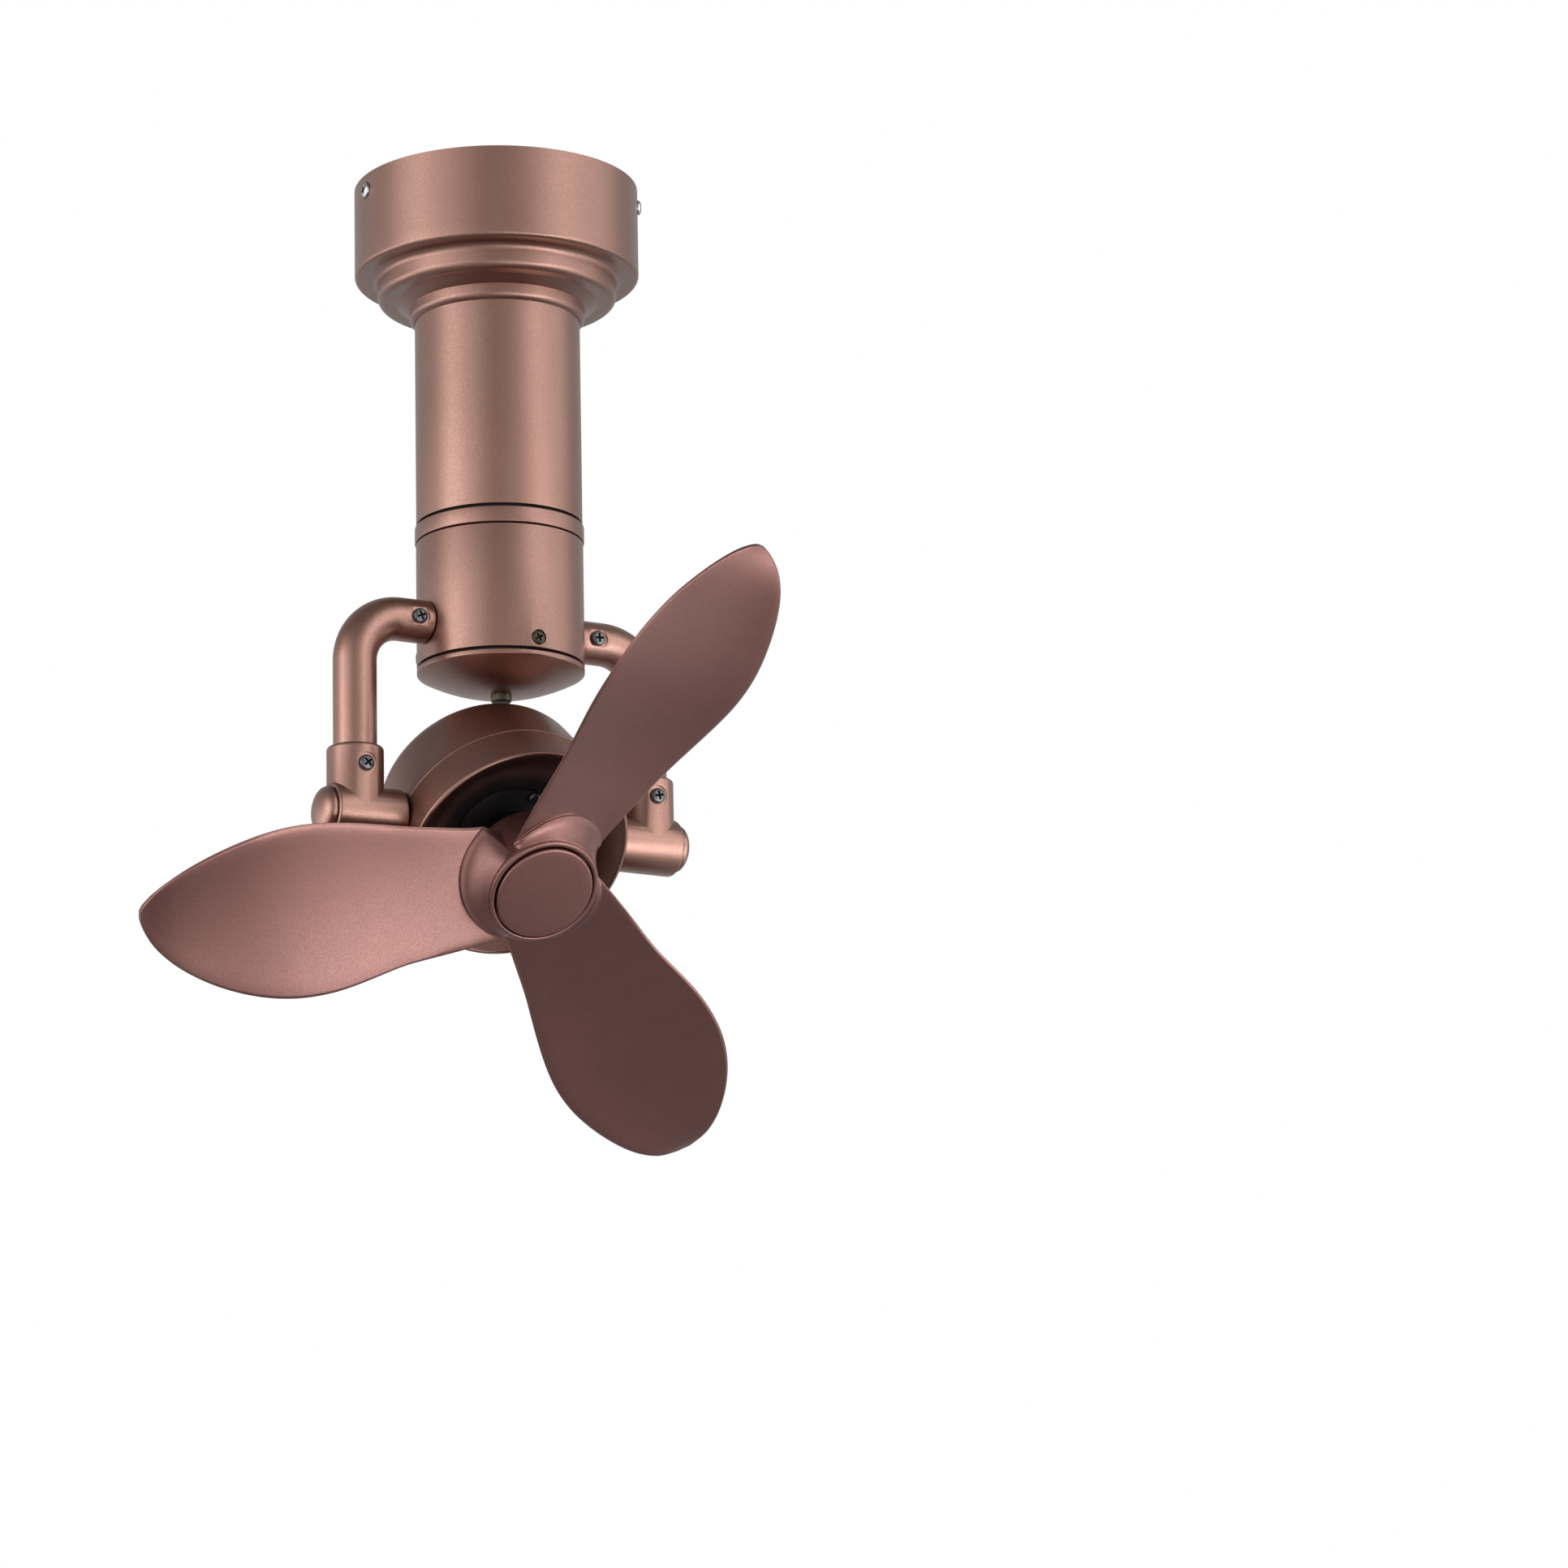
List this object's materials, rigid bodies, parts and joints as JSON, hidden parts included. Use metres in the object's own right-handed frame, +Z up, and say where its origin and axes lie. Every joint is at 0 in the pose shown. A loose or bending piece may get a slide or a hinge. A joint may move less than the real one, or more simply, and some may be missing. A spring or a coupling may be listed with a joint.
{
  "type": "ceiling corner fan",
  "caption": "Short-stem ceiling fan for a room corner: a canopy and stem carry a swivelling yoke with a tilting motor head and paddle blades.",
  "frame": {"origin": "centre of the ceiling bracket's upper face, on the stem's axis, in the plane of the ceiling", "axes": "+Z up, so the fan hangs below the origin; +X along the yoke's tilt axis; -Y to the side that the head faces"},
  "size_m": [0.344, 0.2405, 0.4821],
  "materials": {
    "bronze": "satin copper-bronze metallic paint",
    "blade_bronze": "moulded plastic in satin reddish-bronze paint",
    "zinc_steel": "zinc-plated sheet and turned steel",
    "black_screw": "blackened steel",
    "chrome": "bright plated",
    "brass": "dull brass",
    "copper_wire": "enamelled copper",
    "black_plastic": "matt black",
    "white_plastic": "off-white moulded plastic",
    "board": "green board laminate"
  },
  "bodies": {
    "mount": {"ceiling_bracket": "zinc_steel", "canopy": "bronze", "canopy_screws": "chrome", "stem_tube": "bronze", "stem_bolts": "zinc_steel", "terminal_block": "white_plastic", "bulkhead": "zinc_steel", "board_standoffs": "brass", "control_board": "board", "swivel_motor": "black_screw", "spindle": "zinc_steel", "spindle_screws": "zinc_steel", "spindle_nut": "zinc_steel"},
    "pinion": {"swivel_pinion": "brass"},
    "swivel": {"swivel_ring": "bronze", "swivel_gear": "white_plastic", "swivel_bearings": "zinc_steel", "lower_housing": "bronze", "ring_screws": "zinc_steel", "housing_screws": "black_screw", "arm_spigots": "zinc_steel", "arm_left": "bronze", "arm_right": "bronze", "arm_screws": "black_screw", "pivot_socket_left": "bronze", "pivot_socket_right": "bronze", "socket_screws": "black_screw", "pivot_cap_left": "bronze", "pivot_cap_right": "bronze", "dome_cap": "bronze", "dome_nut": "brass"},
    "head": {"trunnion_left": "black_screw", "trunnion_right": "black_screw", "pivot_washers": "black_plastic", "pivot_nuts": "zinc_steel", "motor_front_shell": "bronze", "motor_rear_shell": "bronze", "shell_screws": "black_screw", "front_plate": "black_plastic", "front_plate_screws": "zinc_steel", "stator_core": "zinc_steel", "stator_windings": "copper_wire", "front_bearing": "zinc_steel", "rear_bearing": "zinc_steel"},
    "rotor": {"rotor_shaft": "zinc_steel", "rotor_core": "black_screw", "hub": "blade_bronze", "blade_1": "blade_bronze", "blade_2": "blade_bronze", "blade_3": "blade_bronze", "hub_nut": "zinc_steel", "hub_cap": "blade_bronze"}
  },
  "joints": [
    {"name": "yoke_swivel", "type": "hinge", "parent": "mount", "child": "swivel", "pos_m": [0, 0, -0.1745], "axis": [0, 0, 1], "range_deg": [-180, 180]},
    {"name": "pinion_spin", "type": "hinge", "parent": "mount", "child": "pinion", "pos_m": [0.03, 0, -0.1745], "axis": [0, 0, 1], "range_deg": [-720, 720]},
    {"name": "head_tilt", "type": "hinge", "parent": "swivel", "child": "head", "pos_m": [0, 0, -0.33729], "axis": [1, 0, 0], "range_deg": [-35, 45]},
    {"name": "rotor_spin", "type": "hinge", "parent": "head", "child": "rotor", "pos_m": [0, 0, -0.33729], "axis": [0, -0.7314, -0.682], "continuous": true}
  ],
  "couplings": [
    {"joint": "pinion_spin", "follows": "yoke_swivel", "ratio": -4}
  ]
}
